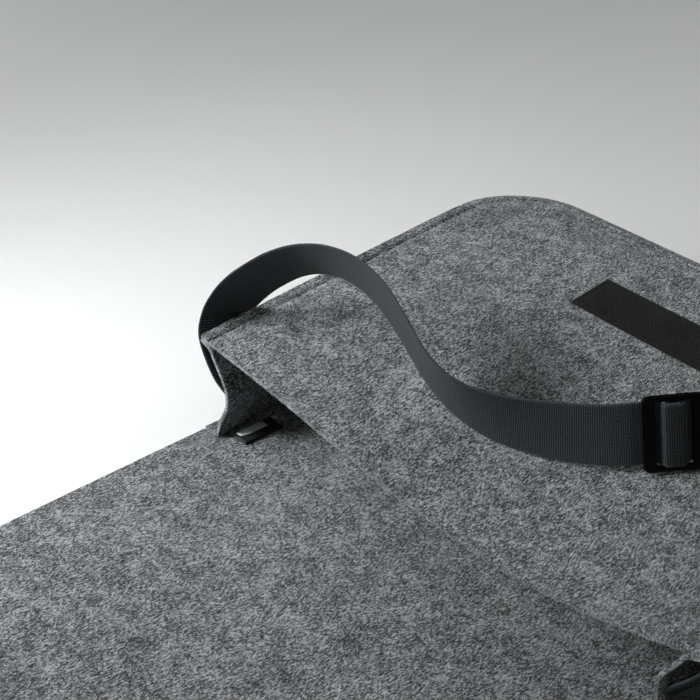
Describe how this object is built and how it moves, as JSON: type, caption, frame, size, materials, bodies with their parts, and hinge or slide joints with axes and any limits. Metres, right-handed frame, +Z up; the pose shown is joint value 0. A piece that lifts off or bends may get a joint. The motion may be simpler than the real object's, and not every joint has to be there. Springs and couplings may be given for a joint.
{
  "type": "laptop sleeve",
  "caption": "Felt laptop sleeve with a deep U-shaped gusset, a long fold-over flap opened flat, a hook-and-loop closure and a webbing shoulder strap with a plastic slider.",
  "frame": {"origin": "on the underside of the back panel, in the middle of the face that the bag lies on", "axes": "+Z up from that face, +Y from the mouth towards the closed bottom of the bag, +X along the mouth"},
  "size_m": [0.421, 0.6158, 0.1489],
  "materials": {
    "felt": "grey melange wool felt",
    "webbing": "charcoal ribbed webbing",
    "slider_plastic": "black moulded plastic, satin",
    "hook_tape": "black hook tape",
    "loop_tape": "black loop tape",
    "label_tape": "black woven tape, blank",
    "thread": "dark grey polyester thread"
  },
  "bodies": {
    "bag": {"back_panel": "felt", "gusset": "felt", "front_panel": "felt", "hook_strip": "hook_tape", "hook_strip_thread": "thread", "front_seam_thread": "thread", "back_seam_thread": "thread", "strap_left": "webbing", "strap_right": "webbing", "strap_left_thread": "thread", "strap_right_thread": "thread", "label": "label_tape", "label_thread": "thread"},
    "flap_spine": {"flap_spine": "felt"},
    "flap_cover": {"flap_cover": "felt", "loop_strip": "loop_tape", "loop_strip_thread": "thread"},
    "strap_slider": {"strap_slider": "slider_plastic", "slider_loop_thread": "thread"}
  },
  "joints": [
    {"name": "flap_base_fold", "type": "hinge", "parent": "bag", "child": "flap_spine", "pos_m": [0, -0.14, 0.003], "axis": [-1, 0, 0], "range_deg": [0, 90]},
    {"name": "flap_top_fold", "type": "hinge", "parent": "flap_spine", "child": "flap_cover", "pos_m": [0, -0.2168, 0.003], "axis": [-1, 0, 0], "range_deg": [0, 87.3], "deforming": ["strap_left", "strap_right"]},
    {"name": "slider_tip", "type": "hinge", "parent": "bag", "child": "strap_slider", "pos_m": [0.08962, -0.02965, 0.08693], "axis": [-0.6372, -0.7657, -0.0878], "range_deg": [0, 78.66]}
  ],
  "couplings": [
    {"joint": "slider_tip", "follows": "flap_top_fold", "ratio": 0.901}
  ]
}
